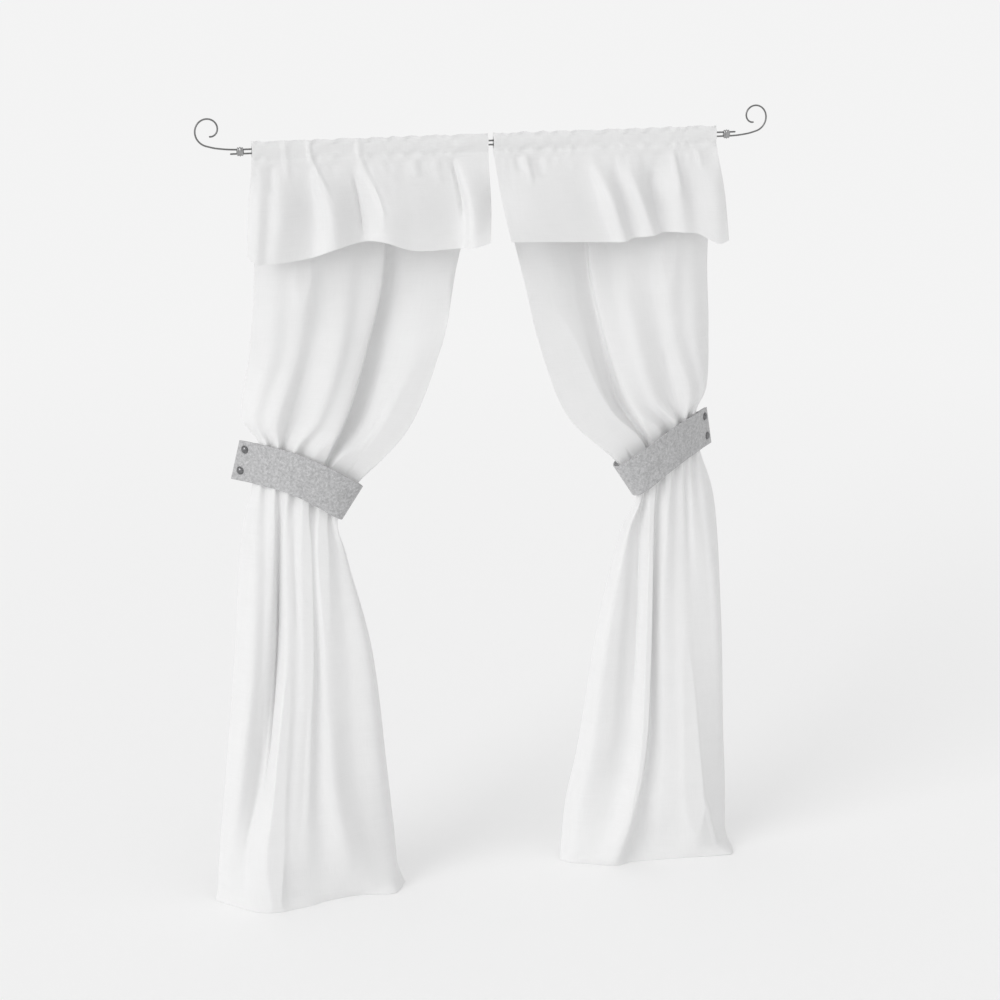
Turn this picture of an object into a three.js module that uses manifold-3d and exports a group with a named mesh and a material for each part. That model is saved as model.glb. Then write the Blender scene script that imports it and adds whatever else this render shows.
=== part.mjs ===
// A pair of white curtains on a double wire rod. Each curtain is a long panel behind the rod and
// a short valance in front of it, held aside by a felt tieback with two metal studs.
//
// Millimetres, +Z up. The origin is the middle of the rod, halfway between its two wires. The rod
// runs along X, the room is on the -Y side and the window wall on the +Y side.
// The folds are written once, for the right side. The left side is their mirror image.
import * as THREE from 'three';
import { mergeVertices } from 'three/addons/utils/BufferGeometryUtils.js';
import Module from 'manifold-3d';

// Rod
const WIRE_DIAMETER = 5;
const WIRE_SPACING = 12;
const WIRE_SIDES = 8;
const SEAT_GAP = 0.35;
const STUB_LENGTH = 27;
const STRAIGHT_STEPS = 8;
const COLLAR = { x: 742, length: 21, height: 26, depth: 15, corner: 6, rounding: 3 };
const NECK = [[14, 0.2], [36, 1.4], [56, 3.6], [75, 6.6]];
const SCROLL = {
  reach: 88, rise: 57, startRadius: 45.4, endRadius: 18.2,
  startTurn: THREE.MathUtils.degToRad(-79), endTurn: THREE.MathUtils.degToRad(262), steps: 20,
};

// Cloth
const CLOTH = 1.4;
const HEADER_TOP = 27;
const STITCH_ABOVE = 20;
const POCKET_HALF = 10;
const STITCH_BELOW = -24;
const SEAM_GAP = 0.4;
const BEHIND_WIRES = WIRE_DIAMETER / 2 + SEAT_GAP + CLOTH / 2;
const AT_SEAM = (CLOTH + SEAM_GAP) / 2;
const BELOW_SEAM = { height: -52, valanceHeight: -62, depth: 3, share: 0.14 };
const DROP = 2400;

// Tiebacks
const FELT = 3.5;
const LAYER_GAP = 0.7;
const SHANK_RADIUS = 2.5;
const STUD_RADIUS = 12.5;
const STUD_RIM = 1;
const STUD_DOME = 7;
const CAP_RADIUS = 7;
const CAP_THICKNESS = 1.6;
const STUD_INSET = 27;
const STUD_PLACES = [0.2, 0.74];

// The panel, one row for each level from under the valance to the hem. Its columns are the folds
// from the outer edge to the inner edge: edge, ridge 1, valley 1, ridge 2, valley 2, ridge 3,
// valley 3, ridge 4, valley 4, ridge 5, valley 5, ridge 6, edge. across is each fold's X and
// depth its Y. outer and inner are the heights of the level's two ends.
const HEADING_ACROSS = [709, 634, 610, 574, 518, 425, 385, 320, 290, 188, 118, 55, 8];
const HEADING_BULGES = [0, 2, 5, 1, 6, 1, 6, 2, 7, 2, 6, 1, 0];
const LEVELS = [
  { name: 'under the valance', outer: -380, inner: -360,
    across: [707, 650, 610, 565, 505, 430, 390, 322, 318, 250, 190, 115, 94],
    depth: [42, 15, 25, -5, 25, 20, 40, 31, 85, 60, 55, 5, 36] },
  { name: 'upper swag', outer: -600, inner: -600,
    across: [725, 668, 630, 590, 545, 465, 430, 377, 362, 300, 240, 152, 150],
    depth: [62, 25, 40, 15, 45, 8, 20, 34, 105, 60, 20, -32, -8] },
  { name: 'lower swag', outer: -812, inner: -850,
    across: [743, 715, 690, 655, 600, 540, 510, 458, 430, 385, 340, 281, 252],
    depth: [115, 60, 85, 25, 75, 15, 30, 17, 110, 50, 5, -68, -42] },
  { name: 'tie top', outer: -886, inner: -1012,
    across: [700, 682, 668, 650, 630, 605, 578, 530, 505, 480, 452, 426, 414],
    depth: [86, 64.5, 90, 40.5, 84, 11, 62, -21.4, 58, -33, 27, -20, 14] },
  { name: 'tie bottom', outer: -1008, inner: -1116,
    across: [720, 702, 684, 664, 646, 628, 604, 577, 549, 524, 500, 485, 479],
    depth: [100, 75, 108, 42, 74, 15, 72, -7.4, 68, -15.8, 34, -11, 14] },
  { name: 'below the tie', outer: -1150, inner: -1250,
    across: [761, 722, 698, 672, 655, 640, 612, 580, 555, 530, 490, 455, 446],
    depth: [78, 44, 64, 27, 100, 18, 65, -8, 80, -10, 40, 18, 66] },
  { name: 'knee', outer: -1550, inner: -1550,
    across: [799, 750, 722, 700, 672, 650, 615, 574, 552, 527, 460, 396, 373],
    depth: [72, 20, 32, 28, 105, 5, 30, -5, 75, 0, 30, 12, 58] },
  { name: 'shin', outer: -2000, inner: -2000,
    across: [838, 800, 765, 738, 725, 694, 640, 590, 568, 510, 440, 350, 318],
    depth: [115, 60, 62, 75, 92, -8, 12, 0, 50, 10, 40, 42, 98] },
  { name: 'ankle', outer: -2200, inner: -2200,
    across: [857, 825, 800, 785, 768, 705, 650, 585, 555, 470, 400, 320, 292],
    depth: [132, 85, 70, 66, 58, -15, 5, -2, 28, 10, 45, 75, 136] },
  { name: 'above the hem', outer: -2362, inner: -2362,
    across: [869, 845, 826, 806, 784, 714, 650, 592, 545, 440, 374, 304, 280],
    depth: [148, 112, 90, 76, 40, 10, 26, 28, 34, 30, 46, 84, 144] },
];
const HEMS = {
  left: {
    across: [876, 852, 838, 820, 795, 716, 650, 590, 540, 425, 365, 300, 269],
    depth: [130, 104, 86, 52, 2, -17, -8, -6, 2, 0, 22, 60, 88] },
  right: {
    across: [864, 858, 845, 828, 798, 728, 662, 598, 545, 428, 368, 302, 272],
    depth: [88, 104, 102, 72, 12, -22, -12, -6, 4, 0, 24, 62, 90] },
};
const PANEL_SPANS_ACROSS = [2, 2, 2, 3, 3, 2, 2, 3, 2, 3, 3, 2];
const PANEL_SPANS_DOWN = [1, 1, 1, 1, 1, 3, 3, 3, 2, 3, 3, 3, 3, 2, 2, 1];

// The valances, one row for each fold from the outer edge to the inner edge: X at the header, at
// mid height and at the hem, Y at those two lower places, and the height of the hem there.
const VALANCE_MID = -170;
const VALANCES = {
  left: [
    { fold: 'outer edge', top: 709, mid: 730, hem: 740, midDepth: -24, hemDepth: -48, drop: -297 },
    { fold: 'ridge 1', top: 686, mid: 703, hem: 716, midDepth: -46, hemDepth: -62, drop: -316 },
    { fold: 'valley 1', top: 660, mid: 672, hem: 690, midDepth: -22, hemDepth: -46, drop: -318 },
    { fold: 'ridge 2', top: 636, mid: 640, hem: 660, midDepth: -50, hemDepth: -60, drop: -318 },
    { fold: 'valley 2', top: 560, mid: 535, hem: 548, midDepth: -18, hemDepth: -40, drop: -308 },
    { fold: 'ridge 3', top: 540, mid: 495, hem: 478, midDepth: -62, hemDepth: -72, drop: -284 },
    { fold: 'valley 3', top: 420, mid: 393, hem: 372, midDepth: -14, hemDepth: -34, drop: -264 },
    { fold: 'ridge 4', top: 400, mid: 336, hem: 326, midDepth: -78, hemDepth: -84, drop: -264 },
    { fold: 'flat', top: 270, mid: 245, hem: 250, midDepth: -56, hemDepth: -68, drop: -298 },
    { fold: 'valley 4', top: 118, mid: 100, hem: 104, midDepth: -34, hemDepth: -64, drop: -298 },
    { fold: 'ridge 5', top: 90, mid: 68, hem: 70, midDepth: -76, hemDepth: -96, drop: -294 },
    { fold: 'inner edge', top: 8, mid: 13, hem: 28, midDepth: -62, hemDepth: -117, drop: -279 },
  ],
  right: [
    { fold: 'outer edge', top: 709, mid: 732, hem: 742, midDepth: -24, hemDepth: -48, drop: -317 },
    { fold: 'ridge 1', top: 680, mid: 700, hem: 706, midDepth: -40, hemDepth: -58, drop: -324 },
    { fold: 'valley 1', top: 600, mid: 622, hem: 640, midDepth: -22, hemDepth: -44, drop: -292 },
    { fold: 'ridge 2', top: 560, mid: 574, hem: 590, midDepth: -52, hemDepth: -60, drop: -284 },
    { fold: 'valley 2', top: 505, mid: 505, hem: 530, midDepth: -16, hemDepth: -46, drop: -282 },
    { fold: 'ridge 3', top: 405, mid: 445, hem: 486, midDepth: -68, hemDepth: -80, drop: -286 },
    { fold: 'valley 3', top: 365, mid: 405, hem: 430, midDepth: -40, hemDepth: -62, drop: -292 },
    { fold: 'ridge 4', top: 306, mid: 350, hem: 392, midDepth: -80, hemDepth: -88, drop: -298 },
    { fold: 'valley 4', top: 280, mid: 314, hem: 350, midDepth: -50, hemDepth: -70, drop: -300 },
    { fold: 'flat', top: 190, mid: 200, hem: 230, midDepth: -62, hemDepth: -84, drop: -292 },
    { fold: 'ridge 5', top: 88, mid: 98, hem: 120, midDepth: -74, hemDepth: -102, drop: -284 },
    { fold: 'inner edge', top: 8, mid: 16, hem: 30, midDepth: -60, hemDepth: -119, drop: -277 },
  ],
};
const VALANCE_SPANS_ACROSS = [2, 2, 2, 2, 2, 2, 2, 2, 2, 2, 2];
const VALANCE_SPANS_DOWN = [1, 1, 1, 1, 1, 3, 3];

// The tieback, a felt strip that runs from its front end inwards, round the bundle and back out
// behind the front end. Each row is one place on it: X and Y of its top and its bottom edge, and
// the heights of the two edges.
const TIE_ROUTE = [
  { top: [752, 127], bottom: [779, 146], high: -882, low: -1006 },
  { top: [719, 94], bottom: [746, 113], high: -884, low: -1008 },
  { top: [698, 73], bottom: [730, 97], high: -886, low: -1009 },
  { top: [655, 38], bottom: [692, 60], high: -892, low: -1014 },
  { top: [612, 9], bottom: [650, 25], high: -901, low: -1021 },
  { top: [570, -13], bottom: [612, -2], high: -916, low: -1033 },
  { top: [525, -31], bottom: [575, -14], high: -937, low: -1051 },
  { top: [478, -42], bottom: [538, -23], high: -963, low: -1074 },
  { top: [436, -36], bottom: [503, -25], high: -991, low: -1097 },
  { top: [411, -18], bottom: [478, -15], high: -1012, low: -1113 },
  { top: [402, 10], bottom: [468, 8], high: -1020, low: -1119 },
  { top: [412, 40], bottom: [474, 34], high: -1016, low: -1117 },
  { top: [445, 66], bottom: [505, 62], high: -1002, low: -1106 },
  { top: [505, 88], bottom: [560, 92], high: -976, low: -1084 },
  { top: [565, 101], bottom: [614, 112], high: -950, low: -1060 },
  { top: [620, 107], bottom: [654, 124], high: -926, low: -1038 },
  { top: [656, 104], bottom: [686, 123], high: -908, low: -1024 },
  { top: [684, 97], bottom: [711, 116], high: -894, low: -1014 },
  { top: [700, 93], bottom: [727, 112], high: -888, low: -1010 },
  { top: [716, 97], bottom: [743, 116], high: -885, low: -1009 },
  { top: [722, 103], bottom: [749, 122], high: -884, low: -1008 },
  { top: [746, 127], bottom: [773, 146], high: -883, low: -1007 },
];

const CLOTH_LOOK = { color: 0xf2f2f0, roughness: 0.95, metalness: 0 };
const FELT_LOOK = { color: 0xb4b4b2, roughness: 1, metalness: 0 };
const WIRE_LOOK = { color: 0x4a4a4a, roughness: 0.4, metalness: 0.9 };
const STUD_LOOK = { color: 0x2c2c2e, roughness: 0.3, metalness: 0.9 };

const wasm = await Module();
wasm.setup();

// Points of a smooth curve through the given points, with spans[i] steps after point i.
function smoothLine(points, spans) {
  const curve = new THREE.CatmullRomCurve3(points, false, 'centripetal');
  const last = points.length - 1;
  const line = [];
  spans.forEach((steps, i) => {
    for (let k = 0; k < steps; k += 1) {
      line.push(curve.getPoint((i + k / steps) / last));
    }
  });
  line.push(points[last].clone());
  return line;
}

// A grid of points through rows of control points, smoothed across and then down.
function smoothGrid(rows, spansAcross, spansDown) {
  const lines = rows.map((row) => smoothLine(row, spansAcross));
  const columns = lines[0].map((_, c) => smoothLine(lines.map((line) => line[c]), spansDown));
  return columns[0].map((_, r) => columns.map((column) => column[r]));
}

function geometryOf(points, triangles) {
  const geometry = new THREE.BufferGeometry();
  const positions = points.flatMap((p) => [p.x, p.y, p.z]);
  geometry.setAttribute('position', new THREE.Float32BufferAttribute(positions, 3));
  geometry.setIndex(triangles);
  return geometry;
}

// The direction of a line at a point, halfway between the steps before and after it.
function through(before, here, after) {
  const arriving = here.clone().sub(before).normalize();
  return arriving.add(after.clone().sub(here).normalize());
}

// A closed sheet of even thickness with the grid as its middle. The grid's rows run inwards, in
// -X, and follow each other downwards, so that the first face looks into the room.
function sheetGeometry(grid, thickness) {
  const rowCount = grid.length;
  const width = grid[0].length;
  const cell = (r, c) => grid[THREE.MathUtils.clamp(r, 0, rowCount - 1)][
    THREE.MathUtils.clamp(c, 0, width - 1)];
  const front = [];
  const back = [];
  for (let r = 0; r < rowCount; r += 1) {
    for (let c = 0; c < width; c += 1) {
      const here = cell(r, c);
      const across = through(cell(r, c - 1), here, cell(r, c + 1));
      const down = through(cell(r - 1, c), here, cell(r + 1, c));
      const half = across.cross(down).normalize().multiplyScalar(thickness / 2);
      front.push(here.clone().add(half));
      back.push(here.clone().sub(half));
    }
  }
  const triangles = [];
  const quad = (a, b, c, d) => triangles.push(a, b, c, a, c, d);
  const behind = front.length;
  for (let r = 0; r + 1 < rowCount; r += 1) {
    for (let c = 0; c + 1 < width; c += 1) {
      const i = r * width + c;
      quad(i, i + 1, i + width + 1, i + width);
      quad(behind + i, behind + i + width, behind + i + width + 1, behind + i + 1);
    }
    const start = r * width;
    const end = start + width - 1;
    quad(start, start + width, behind + start + width, behind + start);
    quad(end, behind + end, behind + end + width, end + width);
  }
  for (let c = 0; c + 1 < width; c += 1) {
    const low = (rowCount - 1) * width + c;
    quad(c, behind + c, behind + c + 1, c + 1);
    quad(low, low + 1, behind + low + 1, behind + low);
  }
  return geometryOf([...front, ...back], triangles);
}

// Both curtains are written for the right side. The left one is mirrored in X, with the corners
// of each triangle in reverse order so that its faces still point outwards.
function onSide(geometry, side) {
  if (side === 'left') {
    const position = geometry.getAttribute('position');
    for (let i = 0; i < position.count; i += 1) {
      position.setX(i, -position.getX(i));
    }
    const index = geometry.getIndex().array;
    for (let i = 0; i < index.length; i += 3) {
      [index[i], index[i + 1]] = [index[i + 1], index[i]];
    }
  }
  return geometry;
}

// The header leans a few millimetres to and fro, and the two sheets sewn together lean alike.
function headerLean(x) {
  return 3 * Math.sin(x / 95);
}

// The rows at the top of a sheet: the free header, the stitches above the wires, the pocket round
// them and the stitches below. away is 1 for the panel behind the wires, -1 for the valance.
function headingRows(across, bulges, away) {
  const sewn = (z) => across.map(
    (x) => new THREE.Vector3(x, away * AT_SEAM + headerLean(x), z));
  const pocket = (z) => across.map(
    (x, i) => new THREE.Vector3(x, away * (BEHIND_WIRES + bulges[i]), z));
  return [
    sewn(HEADER_TOP), sewn(STITCH_ABOVE), pocket(POCKET_HALF), pocket(-POCKET_HALF),
    sewn(STITCH_BELOW),
  ];
}

// A row just below the stitches, where the sheets part and the first folds of the row begin.
function partingRow(sewnRow, foldRow, height, away) {
  return sewnRow.map((sewn, i) => {
    const point = sewn.clone().lerp(foldRow[i], BELOW_SEAM.share);
    point.y += away * BELOW_SEAM.depth;
    point.z = height;
    return point;
  });
}

// A level of the panel. Where its two ends differ in height, it hangs in a curve between them.
function levelRow({ across, depth, outer, inner }) {
  const [first] = across;
  const last = across[across.length - 1];
  return across.map((x, i) => {
    const share = THREE.MathUtils.clamp((first - x) / (first - last), 0, 1);
    return new THREE.Vector3(x, depth[i], outer + (inner - outer) * share ** 2);
  });
}

function panelGeometry(side) {
  const heading = headingRows(HEADING_ACROSS, HEADING_BULGES, 1);
  const levels = LEVELS.map(levelRow);
  const parting = partingRow(heading[heading.length - 1], levels[0], BELOW_SEAM.height, 1);
  const hem = levelRow({ ...HEMS[side], outer: -DROP, inner: -DROP });
  const rows = [...heading, parting, ...levels, hem];
  return sheetGeometry(smoothGrid(rows, PANEL_SPANS_ACROSS, PANEL_SPANS_DOWN), CLOTH);
}

function valanceGeometry(side) {
  const folds = VALANCES[side];
  const bulges = folds.map((fold) => Math.max(0, -fold.midDepth - 40) / 10);
  const heading = headingRows(folds.map((fold) => fold.top), bulges, -1);
  const mid = folds.map((fold) => new THREE.Vector3(fold.mid, fold.midDepth, VALANCE_MID));
  const hem = folds.map((fold) => new THREE.Vector3(fold.hem, fold.hemDepth, fold.drop));
  const parting = partingRow(heading[heading.length - 1], mid, BELOW_SEAM.valanceHeight, -1);
  const rows = [...heading, parting, mid, hem];
  return sheetGeometry(smoothGrid(rows, VALANCE_SPANS_ACROSS, VALANCE_SPANS_DOWN), CLOTH);
}

function tieEdges() {
  const steps = TIE_ROUTE.slice(1).map(() => 2);
  const top = TIE_ROUTE.map((place) => new THREE.Vector3(...place.top, place.high));
  const bottom = TIE_ROUTE.map((place) => new THREE.Vector3(...place.bottom, place.low));
  return [smoothLine(top, steps), smoothLine(bottom, steps)];
}

// The middle of the felt's front layer under a stud, and the direction out of the felt there.
function studSeat(down) {
  const [top, bottom] = tieEdges();
  const inwards = top[2].clone().sub(top[0]).normalize();
  const downwards = bottom[0].clone().sub(top[0]);
  const middle = top[0].clone().addScaledVector(downwards, down);
  middle.addScaledVector(inwards, STUD_INSET);
  return { middle, outwards: inwards.clone().cross(downwards).normalize() };
}

// Stands a turned shape on the felt, with its axis along the direction out of it.
function standOnFelt(geometry, { middle, outwards }) {
  const upright = new THREE.Vector3(0, 1, 0);
  const turn = new THREE.Quaternion().setFromUnitVectors(upright, outwards);
  return geometry.applyQuaternion(turn).translate(middle.x, middle.y, middle.z);
}

function solidOf(geometry) {
  geometry.deleteAttribute('normal');
  geometry.deleteAttribute('uv');
  const merged = mergeVertices(geometry);
  return new wasm.Manifold(new wasm.Mesh({
    numProp: 3,
    vertProperties: new Float32Array(merged.getAttribute('position').array),
    triVerts: new Uint32Array(merged.getIndex().array),
  }));
}

function geometryFrom(solid) {
  const { vertProperties, triVerts } = solid.getMesh();
  const geometry = new THREE.BufferGeometry();
  geometry.setAttribute('position', new THREE.BufferAttribute(vertProperties, 3));
  geometry.setIndex([...triVerts]);
  return geometry;
}

// The felt strip, with a round hole through both of its layers for the shank of each stud.
function tiebackGeometry() {
  const radius = SHANK_RADIUS + SEAT_GAP;
  const length = 8 * FELT;
  return geometryFrom(STUD_PLACES.reduce((strip, down) => {
    const drill = new THREE.CylinderGeometry(radius, radius, length, 14);
    return strip.subtract(solidOf(standOnFelt(drill, studSeat(down))));
  }, solidOf(sheetGeometry(tieEdges(), FELT))));
}

// A stud, turned in one piece: the small cap behind the felt, the shank and the domed head.
function studGeometry(down) {
  const headSeat = FELT / 2 + SEAT_GAP;
  const capSeat = -(1.5 * FELT + LAYER_GAP + SEAT_GAP);
  const profile = [
    new THREE.Vector2(0, capSeat - CAP_THICKNESS),
    new THREE.Vector2(CAP_RADIUS, capSeat - CAP_THICKNESS),
    new THREE.Vector2(CAP_RADIUS, capSeat),
    new THREE.Vector2(SHANK_RADIUS, capSeat),
    new THREE.Vector2(SHANK_RADIUS, headSeat),
    new THREE.Vector2(STUD_RADIUS, headSeat),
  ];
  const rings = 4;
  for (let i = 0; i < rings; i += 1) {
    const turn = ((i / rings) * Math.PI) / 2;
    profile.push(new THREE.Vector2(
      STUD_RADIUS * Math.cos(turn), headSeat + STUD_RIM + STUD_DOME * Math.sin(turn)));
  }
  profile.push(new THREE.Vector2(0, headSeat + STUD_RIM + STUD_DOME));
  const turned = new THREE.LatheGeometry(profile, 14);
  return geometryFrom(solidOf(standOnFelt(turned, studSeat(down))));
}

// The middle line of a wire in the X-Z plane: its stub on the left, the straight stretch, and on
// the right the neck and the scroll beyond the collar.
function wireLine() {
  const line = [];
  const start = -COLLAR.x - STUB_LENGTH;
  for (let i = 0; i <= STRAIGHT_STEPS; i += 1) {
    line.push(new THREE.Vector3(start + ((COLLAR.x - start) * i) / STRAIGHT_STEPS, 0, 0));
  }
  for (const [reach, rise] of NECK) {
    line.push(new THREE.Vector3(COLLAR.x + reach, 0, rise));
  }
  for (let i = 0; i <= SCROLL.steps; i += 1) {
    const share = i / SCROLL.steps;
    const turn = THREE.MathUtils.lerp(SCROLL.startTurn, SCROLL.endTurn, share);
    const radius = THREE.MathUtils.lerp(SCROLL.startRadius, SCROLL.endRadius, share);
    line.push(new THREE.Vector3(
      COLLAR.x + SCROLL.reach + radius * Math.cos(turn), 0, SCROLL.rise + radius * Math.sin(turn)));
  }
  return line;
}

// A round wire along a line in the X-Z plane, with a flat end at each tip.
function wireGeometry() {
  const line = wireLine();
  const sideways = new THREE.Vector3(0, 1, 0);
  const points = line.flatMap((point, i) => {
    const along = line[Math.min(i + 1, line.length - 1)].clone().sub(line[Math.max(i - 1, 0)]);
    const upwards = along.normalize().cross(sideways);
    return Array.from({ length: WIRE_SIDES }, (_, k) => {
      const turn = (2 * Math.PI * k) / WIRE_SIDES;
      return point.clone()
        .addScaledVector(upwards, (WIRE_DIAMETER / 2) * Math.cos(turn))
        .addScaledVector(sideways, (WIRE_DIAMETER / 2) * Math.sin(turn));
    });
  });
  const triangles = [];
  const tip = (line.length - 1) * WIRE_SIDES;
  for (let k = 0; k < WIRE_SIDES; k += 1) {
    const next = (k + 1) % WIRE_SIDES;
    for (let ring = 0; ring < tip; ring += WIRE_SIDES) {
      triangles.push(ring + k, ring + WIRE_SIDES + k, ring + WIRE_SIDES + next);
      triangles.push(ring + k, ring + WIRE_SIDES + next, ring + next);
    }
    if (k > 0 && next > 0) {
      triangles.push(0, k, next);
      triangles.push(tip, tip + next, tip + k);
    }
  }
  return geometryOf(points, triangles);
}

// A rounded metal bead that holds both wires, with a hole for each.
function collarGeometry() {
  const { length, height, depth, corner, rounding } = COLLAR;
  const halfHeight = height / 2 - rounding;
  const halfDepth = depth / 2 - rounding;
  const radius = corner - rounding;
  const outline = new THREE.Shape();
  outline.moveTo(halfHeight, radius - halfDepth);
  outline.absarc(halfHeight - radius, halfDepth - radius, radius, 0, Math.PI / 2);
  outline.absarc(radius - halfHeight, halfDepth - radius, radius, Math.PI / 2, Math.PI);
  outline.absarc(radius - halfHeight, radius - halfDepth, radius, Math.PI, 1.5 * Math.PI);
  outline.absarc(halfHeight - radius, radius - halfDepth, radius, 1.5 * Math.PI, 2 * Math.PI);
  const bead = new THREE.ExtrudeGeometry(outline, {
    depth: length - 2 * rounding, curveSegments: 2, bevelEnabled: true,
    bevelSize: rounding, bevelThickness: rounding, bevelSegments: 2,
  });
  bead.translate(0, 0, rounding - length / 2).rotateY(Math.PI / 2);
  const hole = WIRE_DIAMETER / 2 + SEAT_GAP;
  return geometryFrom([1, -1].reduce((solid, level) => {
    const drill = new THREE.CylinderGeometry(hole, hole, 2 * length, 14).rotateZ(Math.PI / 2);
    return solid.subtract(solidOf(drill.translate(0, 0, (level * WIRE_SPACING) / 2)));
  }, solidOf(bead)));
}

const curtains = new THREE.Group();

function addPiece(name, geometry, look) {
  const piece = new THREE.Mesh(geometry, new THREE.MeshStandardMaterial(look));
  piece.name = name;
  curtains.add(piece);
  return piece;
}

for (const side of ['left', 'right']) {
  addPiece(`panel_${side}`, onSide(panelGeometry(side), side), CLOTH_LOOK);
  addPiece(`valance_${side}`, onSide(valanceGeometry(side), side), CLOTH_LOOK);
  addPiece(`tieback_${side}`, onSide(tiebackGeometry(), side), FELT_LOOK);
  addPiece(`stud_${side}_upper`, onSide(studGeometry(STUD_PLACES[0]), side), STUD_LOOK);
  addPiece(`stud_${side}_lower`, onSide(studGeometry(STUD_PLACES[1]), side), STUD_LOOK);
  const collar = addPiece(`collar_${side}`, collarGeometry(), WIRE_LOOK);
  collar.position.x = side === 'left' ? -COLLAR.x : COLLAR.x;
}

// The upper wire has its scroll on the left, the lower wire on the right.
const upperWire = addPiece('rod_upper', onSide(wireGeometry(), 'left'), WIRE_LOOK);
upperWire.position.z = WIRE_SPACING / 2;
const lowerWire = addPiece('rod_lower', wireGeometry(), WIRE_LOOK);
lowerWire.position.z = -WIRE_SPACING / 2;

export default curtains;
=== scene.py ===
"""White curtains with short valances, on a double wire rod and held aside by felt tiebacks."""

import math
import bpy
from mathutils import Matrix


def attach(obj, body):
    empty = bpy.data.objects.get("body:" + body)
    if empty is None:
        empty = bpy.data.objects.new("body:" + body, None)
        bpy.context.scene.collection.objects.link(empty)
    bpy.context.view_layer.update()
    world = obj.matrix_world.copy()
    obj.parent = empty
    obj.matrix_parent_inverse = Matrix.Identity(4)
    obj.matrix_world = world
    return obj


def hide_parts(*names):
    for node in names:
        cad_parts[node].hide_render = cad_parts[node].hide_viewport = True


bl_info = {
    "name": "Tied-back curtains",
    "version": (1, 0, 0),
    "blender": (4, 5, 0),
    "location": "View3D > Sidebar > Curtains",
    "description": "Builds a pair of tied-back curtains, their rod and a plain studio",
    "category": "Add Mesh",
}

import bpy
import numpy as np
from bpy.props import FloatProperty, FloatVectorProperty, PointerProperty
from mathutils import Vector

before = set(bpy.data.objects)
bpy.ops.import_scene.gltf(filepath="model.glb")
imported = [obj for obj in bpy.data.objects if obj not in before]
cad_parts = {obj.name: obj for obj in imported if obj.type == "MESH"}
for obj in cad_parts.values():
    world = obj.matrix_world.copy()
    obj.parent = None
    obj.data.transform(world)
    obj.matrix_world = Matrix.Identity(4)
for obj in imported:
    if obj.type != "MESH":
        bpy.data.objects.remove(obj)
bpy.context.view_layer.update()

MM = 0.001
TINY = 1e-9
SIDES = {"left": -1, "right": 1}

# Heights and depths of the heading, in millimetres. The panel is behind the wires and the
# valance before them, sewn together above and below the pocket.
HEADER_TOP = 27
STITCH_ABOVE = 20
POCKET_HALF = 10
STITCH_BELOW = -24
BEHIND_WIRES = 3.55
AT_SEAM = 0.75
PANEL_PARTING = -52
VALANCE_PARTING = -62
PARTING_DEPTH = 3
PARTING_SHARE = 0.14
HEADING_STEPS = (2, 3, 4, 3, 8)

# How far the heading leans to and fro, and the length of that wave.
LEAN = 3
LEAN_WAVE = 95

# Uneven puckers along the rod: two waves, each with its share, its length, and the swing and
# length of its wander. turns and start say how much of the side's own turn goes into each.
PUCKER_TURN = {"left": 0.4, "right": 2.3}
PUCKER_WAVES = [
    {"share": 0.6, "length": 11, "swing": 1.5, "wander": 47, "turns": 1, "start": 0},
    {"share": 0.4, "length": 6.3, "swing": 2, "wander": 29, "turns": 2, "start": 1},
]
PUCKER_DEPTH = {"header": 3.2, "seam": 2.8, "pocket": 0.8, "below": 1.8}
PUCKER_LIFT = 2.2
HEADER_FORWARD = 1
SEAM_FORWARD = 4

# Heights where each zone of the heading starts, is full, is full to and ends. The header's zone
# has no end, and the puckers under the seam end at an uneven reach.
HEADER_ZONE = (POCKET_HALF + 2, STITCH_ABOVE - 2)
SEAM_ZONE = (-POCKET_HALF - 2, STITCH_BELOW + 4, -30, -56)
POCKET_ZONE = (STITCH_BELOW, -POCKET_HALF, POCKET_HALF, STITCH_ABOVE)
BELOW_ZONE = (STITCH_BELOW, -36, -52)
REACH = {"mean": 75, "swing": 45, "wave": 53, "turns": 3}

# Fine pleats where the felt gathers a panel: depth, and distances from the felt's edge where
# they start, are full, are full to and end.
PLEAT_STRETCH = 0.8
PLEATS_ABOVE = {"depth": 1.1, "zone": (5, 30, 50, 150)}
PLEATS_BELOW = {"depth": 0.7, "zone": (-5, -30, -50, -200)}

# The folds of a panel from its outer edge to its inner edge: how far along the flat cloth each
# lies, its X at the heading, how far the pocket puffs out there, and the steps to the next fold.
PANEL_FOLDS = [
    ("outer edge", 0, 709, 0, 14),
    ("ridge 1", 83, 634, 2, 5),
    ("valley 1", 105, 610, 5, 6),
    ("ridge 2", 140, 574, 1, 12),
    ("valley 2", 212, 518, 6, 17),
    ("ridge 3", 316, 425, 1, 8),
    ("valley 3", 360, 385, 6, 10),
    ("ridge 4", 415, 320, 2, 13),
    ("valley 4", 500, 290, 7, 13),
    ("ridge 5", 580, 188, 2, 13),
    ("valley 5", 657, 118, 6, 12),
    ("ridge 6", 727, 55, 1, 9),
    ("inner edge", 780, 8, 0, 0),
]

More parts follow.
